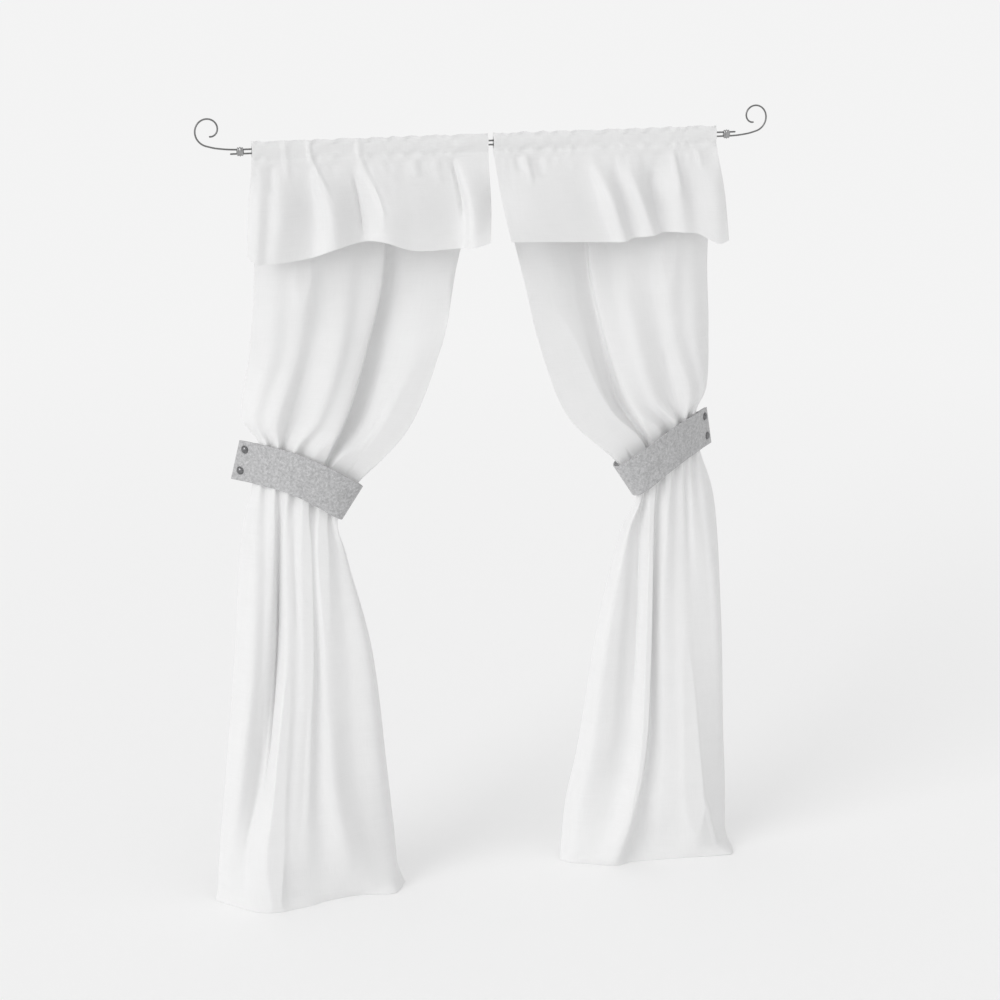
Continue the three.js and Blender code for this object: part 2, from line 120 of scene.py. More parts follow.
# Levels of a panel under its heading: across is each fold's X and depth its Y, in the order of
# the table above, and outer and inner are the heights of the level's two ends.
PANEL_LEVELS = [
    {"name": "under the valance", "outer": -380, "inner": -360, "steps": 32,
     "left": {"across": [707, 650, 610, 565, 505, 430, 390, 322, 318, 250, 190, 115, 94],
              "depth": [42, 15, 8, -5, 16, 20, 29, 31, 77, 58, 38, 28.5, 36]},
     "right": {"across": [707, 650, 610, 565, 505, 430, 390, 322, 318, 250, 190, 115, 94],
               "depth": [42, 15, 8, -5, 14.5, 20, 29, 31, 50, 26, 12, 14, 20]}},
    {"name": "upper swag", "outer": -600, "inner": -600, "steps": 24,
     "left": {"across": [725, 668, 630, 590, 545, 465, 430, 377, 362, 300, 240, 152, 152],
              "depth": [62, 25, 23, 15, 30, 8, 21, 34, 93.5, 54, 14, -3, -8]},
     "right": {"across": [725, 668, 630, 590, 545, 465, 430, 377, 362, 300, 240, 152, 150],
               "depth": [62, 25, 23, 15, 25, 8, 21, 34, 48, 12, -2, -8, -14]}},
    {"name": "lower swag", "outer": -812, "inner": -850, "steps": 26,
     "left": {"across": [743, 715, 690, 655, 600, 540, 510, 458, 430, 385, 340, 284, 257],
              "depth": [115, 60, 51, 25, 50, 15, 20, 17, 87, 42, 0, -24, -30]},
     "right": {"across": [743, 715, 690, 655, 600, 540, 510, 458, 430, 385, 340, 281, 248],
               "depth": [115, 60, 51, 25, 42, 15, 20, 17, 56, 0, -16, -22, -28]}},
    {"name": "tie top", "outer": -886, "inner": -1012, "steps": 16,
     "left": {"across": [700, 682, 668, 650, 630, 605, 578, 530, 505, 480, 452, 426, 414],
              "depth": [86, 64.5, 69.5, 40.5, 55, 14, 25, -21.5, 19.5, -33, 0, -14.5, 14]},
     "right": {"across": [700, 682, 668, 650, 630, 605, 578, 530, 505, 480, 452, 426, 414],
               "depth": [86, 64.5, 69.5, 40.5, 49, 14, 28.5, -21.5, 19.5, -33, 0, -14.5, 14]}},
    {"name": "tie bottom", "outer": -1008, "inner": -1116, "steps": 14,
     "left": {"across": [720, 702, 684, 664, 646, 628, 604, 577, 549, 524, 500, 485, 479],
              "depth": [100, 75, 76, 42, 49, 18, 27.5, -7.5, 16.5, -16, 8, -11, 14]},
     "right": {"across": [720, 702, 684, 664, 646, 628, 604, 577, 549, 524, 500, 485, 479],
               "depth": [100, 75, 76, 42, 42, 18, 27.5, -7.5, 20, -16, 10.5, -11, 14]}},
    {"name": "below the tie", "outer": -1150, "inner": -1250, "steps": 20,
     "left": {"across": [761, 722, 698, 672, 655, 640, 612, 580, 555, 530, 490, 455, 446],
              "depth": [78, 44, 41, 27, 46, 18, 14, -8, 4.5, -10, 13, 18, 66]},
     "right": {"across": [761, 722, 698, 672, 655, 640, 612, 580, 545, 526, 500, 455, 446],
               "depth": [78, 44, 38.5, 27, 30, 18, 17, 0, 24, -14, 36.5, 18, 66]}},
    {"name": "knee", "outer": -1550, "inner": -1550, "steps": 34,
     "left": {"across": [799, 750, 722, 700, 672, 650, 615, 574, 552, 527, 460, 396, 373],
              "depth": [72, 20, 25, 28, 48, 5, 6, -5, 13, 0, 13, 12, 58]},
     "right": {"across": [799, 768, 738, 708, 680, 650, 615, 574, 541, 530, 490, 396, 373],
               "depth": [72, 24, 18, 14, 10, 5, 8, 8, 36, -14, 27.5, 12, 58]}},
    {"name": "shin", "outer": -2000, "inner": -2000, "steps": 44,
     "left": {"across": [838, 800, 765, 738, 725, 690, 652, 592, 562, 510, 440, 350, 318],
              "depth": [115, 60, 66, 75, 56, -10, 8, 6, 23, 10, 34.5, 42, 98]},
     "right": {"across": [838, 810, 780, 750, 724, 690, 640, 590, 546, 515, 470, 350, 318],
               "depth": [115, 62, 42, 26, 12, -6, 8, 16, 38, -6, 38.5, 42, 98]}},
    {"name": "ankle", "outer": -2200, "inner": -2200, "steps": 22,
     "left": {"across": [857, 825, 800, 785, 768, 698, 668, 602, 552, 470, 400, 320, 292],
              "depth": [132, 85, 72, 66, 44, -17, 6, 10, 22, 16, 44.5, 75, 136]},
     "right": {"across": [857, 830, 806, 780, 752, 708, 650, 585, 526, 482, 430, 320, 292],
               "depth": [132, 88, 62, 40, 18, -8, 8, 18, 38, -2, 45, 75, 136]}},
    {"name": "above the hem", "outer": -2362, "inner": -2362, "steps": 20,
     "left": {"across": [869, 845, 824, 800, 776, 700, 664, 598, 545, 440, 374, 306, 276],
              "depth": [148, 112, 90, 66, 36, 0, 18, 28, 36, 40, 42, 62, 136]},
     "right": {"across": [854, 850, 832, 808, 780, 716, 650, 580, 504, 440, 374, 304, 280],
               "depth": [112, 92, 68, 44, 22, 10, 26, 40, 54, 12, 50, 88, 140]}},
    {"name": "hem", "outer": -2400, "inner": -2400, "steps": 10,
     "left": {"across": [876, 852, 825, 797, 768, 703, 660, 590, 540, 430, 370, 312, 263],
              "depth": [143, 114, 85, 55, 26, 0, 8, 20, 38, 52, 42, 34, 104]},
     "right": {"across": [852, 858, 852, 838, 796, 728, 655, 585, 500, 433, 365, 302, 272],
               "depth": [104, 70, 36, 5, 6, 14, 24, 32, 40, 27, 62, 90, 120]}},
]

# The folds of each valance from its outer edge to its inner edge: X at the header, how far the
# pocket puffs out there, X at mid height and at the hem, Y at those two lower places, the height
# of the hem, and the steps to the next fold.
VALANCE_MID = -170
VALANCE_STEPS = (18, 26)
VALANCE_FOLDS = {
    "left": [
        ("outer edge", 709, 0, 730, 740, -24, -48, -297, 6),
        ("ridge 1", 686, 0.3, 703, 716, -46, -62, -316, 7),
        ("valley 1", 660, 0, 672, 690, -40.2, -56.5, -318, 7),
        ("ridge 2", 636, 0.5, 640, 660, -50, -60, -318, 18),
        ("valley 2", 560, 0, 535, 548, -18, -40, -308, 10),
        ("ridge 3", 540, 1.1, 497, 490, -62, -72, -284, 18),
        ("valley 3", 420, 0, 394, 388, -16, -36, -268, 12),
        ("ridge 4", 400, 1.4, 350, 344, -68, -76, -268, 14),
        ("flat", 270, 0.8, 245, 250, -56, -68, -298, 20),
        ("valley 4", 118, 0, 100, 104, -34, -64, -298, 8),
        ("ridge 5", 94, 2.1, 82, 84, -82, -106, -294, 10),
        ("inner edge", 8, 0.6, 13, 29, -52, -106, -279, 0),
    ],
    "right": [
        ("outer edge", 709, 0, 732, 742, -24, -48, -317, 6),
        ("ridge 1", 680, 0, 700, 706, -40, -58, -324, 14),
        ("valley 1", 600, 0, 622, 640, -34, -51.5, -292, 10),
        ("ridge 2", 560, 0.6, 574, 590, -52, -60, -284, 12),
        ("valley 2", 505, 0, 505, 530, -16, -46, -282, 14),
        ("ridge 3", 405, 1.4, 445, 486, -68, -80, -286, 8),
        ("valley 3", 365, 0, 405, 430, -40, -62, -292, 10),
        ("ridge 4", 306, 2, 350, 392, -80, -88, -298, 8),
        ("valley 4", 280, 0.5, 314, 350, -50, -70, -300, 18),
        ("flat", 190, 1.1, 200, 230, -62, -84, -292, 16),
        ("ridge 5", 88, 1.7, 98, 120, -74, -102, -284, 14),
        ("inner edge", 8, 1.5, 16, 30, -70, -119, -277, 0),
    ],
}

# The felt strip, from its front end inwards, round the bundle and back out behind the front end:
# X, Y and height of its top edge and of its bottom edge. It turns back at place TIE_TURN.
TIE_ROUTE = [
    ((752, 127, -882), (779, 146, -1006)),
    ((719, 94, -884), (746, 113, -1008)),
    ((698, 73, -886), (730, 97, -1009)),
    ((655, 38, -892), (692, 60, -1014)),
    ((612, 9, -901), (650, 25, -1021)),
    ((570, -13, -916), (612, -2, -1033)),
    ((525, -31, -937), (575, -14, -1051)),
    ((478, -42, -963), (538, -23, -1074)),
    ((436, -36, -991), (503, -25, -1097)),
    ((411, -18, -1012), (478, -15, -1113)),
    ((402, 10, -1020), (468, 8, -1119)),
    ((412, 40, -1016), (474, 34, -1117)),
    ((445, 66, -1002), (505, 62, -1106)),
    ((505, 88, -976), (560, 92, -1084)),
    ((565, 101, -950), (614, 112, -1060)),
    ((620, 107, -926), (654, 124, -1038)),
    ((656, 104, -908), (686, 123, -1024)),
    ((684, 97, -894), (711, 116, -1014)),
    ((700, 93, -888), (727, 112, -1010)),
    ((716, 97, -885), (743, 116, -1009)),
    ((722, 103, -884), (749, 122, -1008)),
    ((746, 127, -883), (773, 146, -1007)),
]
TIE_TURN = 10
TIE_STEPS = 6

# Rows across the felt: shares of its width for the close rows of an edge, the share at which the
# even rows begin and their number, and the share of the thickness that is left at an edge.
TIE_EDGE_ROWS = [0, 0.002, 0.006, 0.013, 0.03]
TIE_EDGE_SHARE = 0.06
TIE_ROWS = 30
TIE_EDGE_THICKNESS = 0.25

# Places of the studs, from the felt's front end and as shares of its width, and the gaps between
# the felt's two layers and between a stud and the felt, in millimetres.
STUD_INSET = 27
STUD_PLACES = {"upper": 0.2, "lower": 0.74}
LAYER_GAP = 0.7
SEAT_GAP = 0.35

# Stud, in millimetres: (radius, height) pairs of its back, measured from the felt behind it, and
# of its rim, measured from the stud's own radius and the felt before it, and the dome's sizes.
STUD_SIDES = 36
STUD_SHANK = 2.5
STUD_BACK = [(0, -1.6), (5.8, -1.6), (6.7, -1.3), (7, -0.8), (6.8, -0.1), (6.4, 0),
             (STUD_SHANK, 0)]
STUD_RIM = [(-0.7, 0), (-0.1, 0.3), (0, 0.8), (-0.3, 1.3), (-0.9, 1.5)]
STUD_RIM_HEIGHT = 1.5
DOME_INSET = 1.2
DOME_HEIGHT = 6.4
DOME_STEPS = 12

# Rod, in millimetres. The tip of a wire has rings at shares of the radius, each with its place
# before or behind the end of the wire's middle line, in radii.
WIRE_SPACING = 12
COLLAR_X = 742
STUB_LENGTH = 27
NECK = [(14, 0.2), (36, 1.4), (56, 3.6), (75, 6.6)]
SCROLL_REACH = 88
SCROLL_RISE = 57
SCROLL_RADII = (45.4, 18.2)
SCROLL_TURNS = (-79, 262)
STRAIGHT_POINTS = 60
SCROLL_POINTS = 70
NECK_STEPS = (3, 4, 4, 4, 4)
WIRE_SIDES = 16
WIRE_TIP = [(0.55, -0.83), (0.85, -0.5), (1, 0)]

# Bead: half its depth and height, the share of them at its ends, how much it swells between
# them and how squarely, and its three raised rings.
BEAD_SECTIONS = 29
BEAD_SIDES = 48
BEAD_DEPTH = 7.5
BEAD_HEIGHT = 13
BEAD_ENDS = 0.42
BEAD_SWELL = 0.55
BEAD_SHOULDER = 3.2
BEAD_CORNERS = 0.75
BEAD_RINGS = 3
RING_HEIGHT = 0.17

# Studio: what the camera looks at, in millimetres, and the width of its sensor. Floor, in metres:
# half its side, its gap under the hems and the distance at which its painted shade fades out,
# then the places of its near colour, which is painted shade round the curtains, its middle and
# far colour, and the share of the far one in the middle.
CAMERA_TARGET = (28.712, 0, -1097.658)
SENSOR_WIDTH = 36
FLOOR_HALF = 90
FLOOR_GAP = 0.002
FLOOR_SHADE_FADE = 9
FLOOR_PLACES = (0, 0.5, 0.95)
FLOOR_MIDDLE = 1 / 3

# Hems: how many extra layers they add, and how softly their folds and the cloth's edges end, in
# millimetres. Edges of a piece that are sharper than SHARP_ANGLE stay sharp.
HEM_LAYERS = {"bottom": 1.5, "side": 0.8}
HEM_SOFTNESS = {"bottom": (-1, 2), "side": (-1, 3)}
EDGE_SOFTNESS = (-2, 2)
SHARP_ANGLE = math.radians(50)

# Noise patterns of the materials: stretch along each axis, scale, detail and roughness.
NOISES = {
    "warp slubs": ((900, 14, 1), 1, 2, 0.5),
    "weft slubs": ((12, 800, 1), 1, 2, 0.5),
    "cloud": (None, 9, 2, 0.5),
    "crumple": (None, 24, 3, 0.55),
    "mottle": (None, 130, 4, 0.65),
    "flecks": (None, 420, 3, 0.7),
    "fibres": ((1500, 1500, 400), 1, 2, 0.6),
    "wear": (None, 90, 4, 0.6),
    "marks": ((60, 2500, 2500), 1, 2, 0.6),
}

# Bumps of the materials: height in metres and strength.
BUMPS = {
    "crumple": (0.0015, 0.25),
    "slubs": (0.0001, 0.5),
    "weave": (0.00012, 0.6),
    "mottle": (0.0012, 0.5),
    "flecks": (0.0006, 0.6),
    "fibres": (0.0003, 0.5),
    "wear": (0.0003, 0.25),
    "marks": (0.00005, 0.4),
}

# Tones of the materials, as places on the pattern and shares of the colour there, and the shares
# of the two patterns that are added up: slubs and cloud, mottle and flecks.
COTTON_TONES = [(0.3, 0.955), (0.5, 1), (0.7, 1.02)]
COTTON_PATTERN = (0.4, 0.2)
FELT_TONES = [(0.36, 0.72), (0.5, 1), (0.64, 1.3)]
FELT_PATTERN = (0.6, 0.4)
METAL_TONES = [(0.3, 0.8), (0.5, 1), (0.72, 1.25)]
POLISH_RANGE = (0.8, 1.25)

# Even values of the materials' shaders.
COTTON_FINISH = {"Roughness": 0.9, "Specular IOR Level": 0.2,
                 "Sheen Weight": 0.15, "Sheen Roughness": 0.6}
FELT_FINISH = {"Roughness": 1.0, "Specular IOR Level": 0.1,
               "Sheen Weight": 0.3, "Sheen Roughness": 0.5}
METAL_FINISH = {"Metallic": 1.0}
FLOOR_FINISH = {"Roughness": 1.0, "Specular IOR Level": 0.0}
ROUGHNESS = {"wire": 0.35, "bead": 0.25, "stud": 0.28}

# Soft creases of a panel: where each starts and where it ends, as distance along
# the flat width and height, then its half width and its depth. A negative depth is a raised
# ridge. A crease starts, is full, is full to and ends at the shares of its way in CREASE_ZONE.
CREASE_ZONE = (0, 0.25, 0.7, 1)
PANEL_CREASES = {
    "left": [
        (200, -640, 196, -900, 13, 3),
        (440, -400, 452, -880, 9, -3),
        (548, -560, 560, -930, 18, 4),
        (640, -640, 632, -960, 13, -4),
        (48, -1100, 44, -1450, 14, 2),
        (208, -1200, 216, -2080, 8, 8),
        (356, -1110, 360, -1500, 9, 4),
        (316, -1750, 316, -2560, 8, -6),
        (404, -1450, 396, -2250, 10, 3),
        (600, -1700, 560, -2340, 30, -5),
    ],
    "right": [
        (200, -640, 196, -880, 13, 3),
        (452, -400, 462, -880, 10, 3),
        (548, -560, 560, -930, 18, 3),
        (655, -1170, 652, -1900, 7, 6),
        (700, -1300, 690, -2100, 11, -5),
        (500, -2150, 430, -2390, 30, 6),
        (250, -2180, 180, -2390, 22, -6),
    ],
}

# The same for the valances, with the distance across measured along the heading.
VALANCE_CREASES = {
    "left": [
        (652, -34, 650, -135, 11, 6),
        (614, 60, 608, -100, 9, -4),
        (550, 50, 520, -150, 8, -5),
        (428, -60, 426, -270, 7, 7),
        (398, 70, 390, -260, 9, -5),
        (330, -30, 322, -110, 12, -3),
        (236, -34, 240, -95, 10, -4),
        (180, -34, 184, -120, 12, -3),
        (121, -34, 118, -230, 7, 9),
    ],
    "right": [
        (78, -34, 80, -90, 9, 4),
        (104, -30, 110, -130, 8, -5),
        (146, -36, 150, -110, 14, 4),
        (235, -30, 240, -90, 10, -3),
        (505, -90, 508, -240, 16, 6),
        (566, -30, 562, -190, 10, -7),
        (640, -34, 646, -100, 10, -4),
    ],
}


def fold_columns(rows):
    """The columns of a table of folds, without their names and the last fold's steps."""
    *columns, steps = np.array([row[1:] for row in rows], float).T
    return (*columns, steps[:-1].astype(int))


def smooth_through(points, steps):
    """Points of smooth curves through points along the first axis, with steps[i] after point i."""
    around = np.concatenate(
        [[2 * points[0] - points[1]], points, [2 * points[-1] - points[-2]]])
    gaps = np.linalg.norm(np.diff(around, axis=0), axis=-1, keepdims=True) ** 0.5
    parts = []
    for i, count in enumerate(steps):
        before, start, end, after = around[i:i + 4]
        arriving, between, leaving = gaps[i:i + 3]
        out = between * ((start - before) / arriving - (end - before) / (arriving + between)
                         + (end - start) / between)
        into = between * ((end - start) / between - (after - start) / (between + leaving)
                          + (after - end) / leaving)
        t = (np.arange(count) / count).reshape((-1,) + (1,) * start.ndim)
        parts.append(start + out * t + (3 * (end - start) - 2 * out - into) * t ** 2
                     + (2 * (start - end) + out + into) * t ** 3)
    parts.append(points[-1:])
    return np.concatenate(parts)


def smooth_grid(rows, steps_across, steps_down):
    """A fine grid of points through rows of control points, smoothed across and then down."""
    lines = smooth_through(np.swapaxes(np.array(rows, float), 0, 1), steps_across)
    return smooth_through(np.swapaxes(lines, 0, 1), steps_down)


def spread(values, steps):
    """Values between the given ones, evenly spaced with steps[i] after value i."""
    places = np.concatenate([[0], np.cumsum(steps)])
    return np.interp(np.arange(places[-1] + 1), places, values)


def unit(vectors):
    """The vectors at length 1."""
    return vectors / np.maximum(np.linalg.norm(vectors, axis=-1, keepdims=True), TINY)


def direction(grid, axis):
    """The direction of the grid's lines along an axis, halfway between the steps at each point."""
    steps = unit(np.diff(grid, axis=axis))
    first = np.take(steps, [0], axis=axis)
    last = np.take(steps, [-1], axis=axis)
    return (np.concatenate([first, steps], axis=axis)
            + np.concatenate([steps, last], axis=axis))


def normals(grid):
    """Directions out of the grid's front face."""
    return unit(np.cross(direction(grid, 1), direction(grid, 0)))


def flat_places(grid):
    """How far along the flat width and the flat length each column and each row lies."""
    across = np.linalg.norm(np.diff(grid, axis=1), axis=-1).mean(axis=0)
    down = np.linalg.norm(np.diff(grid, axis=0), axis=-1).mean(axis=1)
    return np.concatenate([[0], np.cumsum(across)]), np.concatenate([[0], np.cumsum(down)])


def ease(value, low, high):
    """0 up to low, 1 from high on, and smooth between them. low may be the larger."""
    t = np.clip((value - low) / (high - low), 0, 1)
    return t * t * (3 - 2 * t)


def within(value, start, full, full_to, end):
    """0 before start and after end, 1 between the full ends, and smooth between them."""
    return ease(value, start, full) * (1 - ease(value, full_to, end))


def make_piece(name, points, faces, material, places=None):
    """A smooth-shaded mesh object from points in millimetres, with flat places as its UV map."""
    mesh = bpy.data.meshes.new(name)
    mesh.from_pydata((np.asarray(points) * MM).tolist(), [], faces)
    mesh.update()
    mesh.polygons.foreach_set("use_smooth", [True] * len(mesh.polygons))
    mesh.set_sharp_from_angle(angle=SHARP_ANGLE)
    if places is not None:
        corners = np.empty(len(mesh.loops), dtype=np.int64)
        mesh.loops.foreach_get("vertex_index", corners)
        layer = mesh.uv_layers.new(name="flat")
        layer.data.foreach_set("uv", (places[corners] * MM).ravel())
    mesh.materials.append(material)
    piece = bpy.data.objects.new(name, mesh)
    bpy.context.scene.collection.objects.link(piece)
    return piece


def sheet_mesh(grid, thickness):
    """Points, faces and flat places of a closed sheet with the grid as its middle."""
    count_down, count_across = grid.shape[:2]
    half = normals(grid) * np.asarray(thickness)[..., None] / 2
    points = np.concatenate([(grid + half).reshape(-1, 3), (grid - half).reshape(-1, 3)])
    behind = count_down * count_across
    index = np.arange(behind).reshape(count_down, count_across)
    a, b = index[:-1, :-1].ravel(), index[:-1, 1:].ravel()
    c, d = index[1:, 1:].ravel(), index[1:, :-1].ravel()
    quads = [np.stack([a, b, c, d], 1), np.stack([a, d, c, b], 1) + behind]
    for edge, swapped in ((index[:, 0], False), (index[:, -1], True),
                          (index[0], False), (index[-1], True)):
        start, end = edge[:-1], edge[1:]
        if swapped:
            start, end = end, start
        quads.append(np.stack([start, end, end + behind, start + behind], 1))
    across, down = flat_places(grid)
    flat = np.stack(np.meshgrid(across, down), -1).reshape(-1, 2)
    return points, np.concatenate(quads).tolist(), np.concatenate([flat, flat])


def on_side(points, faces, side):
    """Mirrors a piece that is written for the right side, with its faces still outwards."""
    points = points * (SIDES[side], 1, 1)
    if side == "left":
        faces = [face[::-1] for face in faces]
    return points, faces


def header_lean(across):
    """How far the header leans to and fro. The two sheets sewn together lean alike."""
    return LEAN * np.sin(across / LEAN_WAVE)


def heading_rows(across, bulges, away):
    """Control rows of a sheet's top: header, stitches, pocket round the wires, stitches."""
    sewn = away * AT_SEAM + header_lean(across)
    pocket = away * (BEHIND_WIRES + bulges)
    levels = [(sewn, HEADER_TOP), (sewn, STITCH_ABOVE), (pocket, POCKET_HALF),
              (pocket, -POCKET_HALF), (sewn, STITCH_BELOW)]
    return [np.stack([across, depth, np.full_like(across, height)], 1)
            for depth, height in levels]


def parting_row(sewn_row, fold_row, height, away):
    """The row just below the stitches, where the two sheets part."""
    row = sewn_row + (fold_row - sewn_row) * PARTING_SHARE
    down = (height - STITCH_BELOW) / (fold_row[:, 2] - STITCH_BELOW)
    row[:, 0] = sewn_row[:, 0] + (fold_row[:, 0] - sewn_row[:, 0]) * down
    row[:, 1] += away * PARTING_DEPTH
    row[:, 2] = height
    return row


def level_row(folds, outer, inner):
    """A level of the panel, which hangs in a curve where its two ends differ in height."""
    across = np.array(folds["across"], float)
    share = np.clip((across[0] - across) / (across[0] - across[-1]), 0, 1)
    return np.stack([across, folds["depth"], outer + (inner - outer) * share ** 2], 1)


def puckers(across, side):
    """Uneven puckers along the heading, from -1 to 1."""
    turn = PUCKER_TURN[side]
    shape = np.zeros_like(across)
    for wave in PUCKER_WAVES:
        wander = wave["swing"] * np.sin(across / wave["wander"] + wave["turns"] * turn)
        place = across / wave["length"] + wander + wave["start"] * turn
        shape = shape + wave["share"] * np.sin(place)
    return shape


def pucker_heading(grid, side, away):
    """Puckers the header and the seams, both sheets alike, and puffs out the pocket."""
    across = grid[..., 0]
    height = grid[..., 2]
    shape = puckers(across, side)
    header = ease(height, *HEADER_ZONE)
    seam = within(height, *SEAM_ZONE)
    pocket = within(height, *POCKET_ZONE)
    sway = np.sin(across / REACH["wave"] + REACH["turns"] * PUCKER_TURN[side])
    reach = REACH["mean"] + REACH["swing"] * sway
    below = within(height, *BELOW_ZONE, BELOW_ZONE[-1] - reach)
    depth = PUCKER_DEPTH
    grid[..., 1] += (shape * (depth["header"] * header + depth["seam"] * seam)
                     - SEAM_FORWARD * seam - HEADER_FORWARD * header)
    grid[..., 2] += PUCKER_LIFT * shape * header
    puff = depth["pocket"] * pocket + depth["below"] * below
    grid[..., 1] += away * (1 + shape) * puff
    seam_depth = away * AT_SEAM + header_lean(across)
    seam_depth = seam_depth + (depth["seam"] * shape - SEAM_FORWARD) * seam
    clear = away * np.maximum(away * grid[..., 1], away * seam_depth)
    grid[..., 1] = np.where(height < STITCH_BELOW, clear, grid[..., 1])
    return grid


def creases(width, height, table):
    """Depth of the listed creases at each point of a cloth."""
    depth = np.zeros_like(width)
    for from_width, from_height, to_width, to_height, reach, strength in table:
        run = (from_height - height) / (from_height - to_height)
        middle = from_width + (to_width - from_width) * np.clip(run, 0, 1)
        aside = (width - middle) / reach
        depth += strength * within(run, *CREASE_ZONE) * np.exp(-aside ** 2)
    return depth


def hem_profile(across, down, cloth, bottom_hem, side_hem):
    """Thickness of a sheet: one layer of cloth, more at its turned hems, thin at its edges."""
    to_side = np.minimum(across, across.max() - across)
    to_bottom = down.max() - down
    extra = []
    for place, to_edge, hem in (("bottom", to_bottom, bottom_hem), ("side", to_side, side_hem)):
        inner, outer = HEM_SOFTNESS[place]
        extra.append(HEM_LAYERS[place] * (1 - ease(to_edge, hem + inner, hem + outer)))
    edge = ease(np.minimum(to_side, to_bottom), *EDGE_SOFTNESS)
    return cloth * (1 + np.maximum(*extra)) * edge


def panel_grid(side):
    """The middle of a panel, in millimetres, written for the right side."""
    width, across, bulges, steps = fold_columns(PANEL_FOLDS)
    heading = heading_rows(across, bulges, 1)
    levels = [level_row(level[side], level["outer"], level["inner"]) for level in PANEL_LEVELS]
    parting = parting_row(heading[-1], levels[0], PANEL_PARTING, 1)
    steps_down = [*HEADING_STEPS, *[level["steps"] for level in PANEL_LEVELS]]
    grid = smooth_grid([*heading, parting, *levels], steps, steps_down)
    width = np.broadcast_to(spread(width, steps), grid.shape[:2])
    height = grid[..., 2]
    pleats = 0
    for pleat, edge in zip((PLEATS_ABOVE, PLEATS_BELOW), tie_heights(grid[..., 0])):
        zone = [edge + distance for distance in pleat["zone"]]
        pleats = pleats + pleat["depth"] * within(height, *zone)
    pleats = puckers(width * PLEAT_STRETCH, side) * pleats
    offset = pleats - creases(width, height, PANEL_CREASES[side])
    grid = grid + normals(grid) * offset[..., None]
    return pucker_heading(grid, side, 1)


def tie_heights(across):
    """Heights of the tieback's top and bottom edge in front of each X."""
    front = np.array(TIE_ROUTE[TIE_TURN::-1], float)
    return [np.interp(across, edge[:, 0], edge[:, 2]) for edge in (front[:, 0], front[:, 1])]


def valance_grid(side):
    """The middle of a valance, in millimetres, written for the right side."""
    top, bulges, *lower, steps = fold_columns(VALANCE_FOLDS[side])
    mid, hem, mid_depth, hem_depth, drop = lower
    heading = heading_rows(top, bulges, -1)
    middle = np.stack([mid, mid_depth, np.full_like(mid, VALANCE_MID)], 1)
    bottom = np.stack([hem, hem_depth, drop], 1)
    parting = parting_row(heading[-1], middle, VALANCE_PARTING, -1)
    rows = [*heading, parting, middle, bottom]
    grid = smooth_grid(rows, steps, [*HEADING_STEPS, *VALANCE_STEPS])
    along = np.broadcast_to(spread(top, steps), grid.shape[:2])
    offset = -creases(along, grid[..., 2], VALANCE_CREASES[side])
    grid = grid + normals(grid) * offset[..., None]
    return pucker_heading(grid, side, -1)


def tie_grid():
    """The middle of the felt strip, in millimetres, with close rows along its two edges."""
    edges = smooth_through(np.array(TIE_ROUTE, float), [TIE_STEPS] * (len(TIE_ROUTE) - 1))
    top, bottom = edges[:, 0], edges[:, 1]
    inner = np.linspace(TIE_EDGE_SHARE, 1 - TIE_EDGE_SHARE, TIE_ROWS)
    far_edge = [1 - share for share in reversed(TIE_EDGE_ROWS)]
    share = np.array([*TIE_EDGE_ROWS, *inner, *far_edge])
    return top[None] + (bottom - top)[None] * share[:, None, None]


def felt_profile(across, down, felt):
    """Thickness of the felt, with its edges rounded off."""
    to_side = np.minimum(across, across.max() - across)
    to_edge = np.minimum(to_side, np.minimum(down, down.max() - down))
    inside = np.clip(1 - to_edge / (felt / 2), 0, 1)
    rounded = np.sqrt(1 - inside ** 2)
    return felt * (TIE_EDGE_THICKNESS + (1 - TIE_EDGE_THICKNESS) * rounded)


def stud_profile(radius, felt):
    """(radius, height) pairs of a stud, from the middle of its back to the top of its dome."""
    back = -(felt / 2 + LAYER_GAP + felt + SEAT_GAP)
    seat = felt / 2 + SEAT_GAP
    profile = [(place, back + height) for place, height in STUD_BACK]
    profile.append((STUD_SHANK, seat))
    profile += [(radius + place, seat + height) for place, height in STUD_RIM]
    for i in range(DOME_STEPS):
        angle = math.pi / 2 * i / DOME_STEPS
        profile.append(((radius - DOME_INSET) * math.cos(angle),
                        seat + STUD_RIM_HEIGHT + DOME_HEIGHT * math.sin(angle)))
    profile.append((0, seat + STUD_RIM_HEIGHT + DOME_HEIGHT))
    return profile


def stud_seat(down):
    """The middle of the felt's front layer under a stud, and the direction out of it."""
    grid = tie_grid()
    top, bottom = grid[0], grid[-1]
    inwards = unit(top[2 * TIE_STEPS] - top[0])
    downwards = bottom[0] - top[0]
    middle = top[0] + downwards * down + inwards * STUD_INSET
    return middle, unit(np.cross(inwards, downwards))


def bands(rings, sides, first):
    """Faces between rings of points, counted from the first point of the first ring."""
    faces = []
    for ring in range(rings - 1):
        low = first + ring * sides
        for k in range(sides):
            n = (k + 1) % sides
            faces.append((low + k, low + n, low + sides + n, low + sides + k))
    return faces


def capped(rings, sides):
    """Faces of rings of points that are closed by one point before and one after them."""
    last = rings * sides + 1
    top = last - sides
    start = [(0, 1 + (k + 1) % sides, 1 + k) for k in range(sides)]
    end = [(top + k, top + (k + 1) % sides, last) for k in range(sides)]
    return [*start, *bands(rings, sides, 1), *end]


def turned(profile, sides):
    """Points and faces of a turned shape round Z, from (radius, height) pairs axis to axis."""
    points = [(0, 0, profile[0][1])]
    for radius, height in profile[1:-1]:
        for k in range(sides):
            angle = 2 * math.pi * k / sides
            points.append((radius * math.cos(angle), radius * math.sin(angle), height))
    points.append((0, 0, profile[-1][1]))
    return np.array(points, float), capped(len(profile) - 2, sides)


